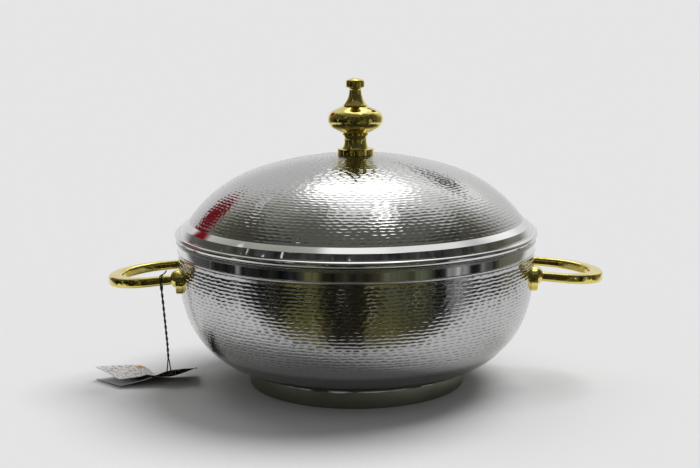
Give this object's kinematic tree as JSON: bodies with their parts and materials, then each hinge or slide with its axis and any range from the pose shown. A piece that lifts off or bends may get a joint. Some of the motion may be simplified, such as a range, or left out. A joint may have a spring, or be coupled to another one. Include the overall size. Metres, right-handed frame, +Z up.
{
  "type": "insulated serving casserole",
  "caption": "Round double-walled hammered steel serving casserole with foam insulation, lift-off domed lid, turned brass finial, fixed brass loop handles and a hang tag on a string.",
  "frame": {"origin": "on the surface that the casserole stands on, at the centre of the foot ring", "axes": "+Z up along the axis of the bowl, +X towards the right handle, +Y away from the front"},
  "size_m": [0.428, 0.3, 0.2531],
  "materials": {
    "hammered_steel": "polished over rows of short hammer dents",
    "polished_steel": "mirror polished",
    "liner_steel": "satin polished",
    "foot_steel": "plain rolled sheet",
    "fixing_steel": "zinc plated",
    "foam": "rigid polyurethane foam",
    "plug_plastic": "moulded",
    "brass": "mirror polished",
    "eyelet_brass": "pressed",
    "card": "dark printed card",
    "paper": "white printed card",
    "string": "black twisted cord"
  },
  "bodies": {
    "bowl": {"outer_bowl": "hammered_steel", "rim_collar": "polished_steel", "inner_liner": "liner_steel", "bowl_foam": "foam", "foam_plug": "plug_plastic", "foot_ring": "foot_steel", "right_handle": "brass", "left_handle": "brass", "handle_screws": "fixing_steel", "handle_washers": "fixing_steel", "tag_card": "card", "tag_cover": "paper", "tag_eyelet": "eyelet_brass", "tag_string": "string", "string_loop": "string"},
    "lid": {"lid_shell": "hammered_steel", "lid_liner": "liner_steel", "lid_foam": "foam", "finial_base": "brass", "finial_bulb": "brass", "finial_cap": "brass", "finial_stud": "fixing_steel", "finial_washer": "fixing_steel", "finial_nut": "fixing_steel"}
  },
  "joints": [
    {"name": "lid_lift", "type": "slide", "parent": "bowl", "child": "lid", "axis": [0, 0, 1], "range_m": [0, 0.15]}
  ]
}
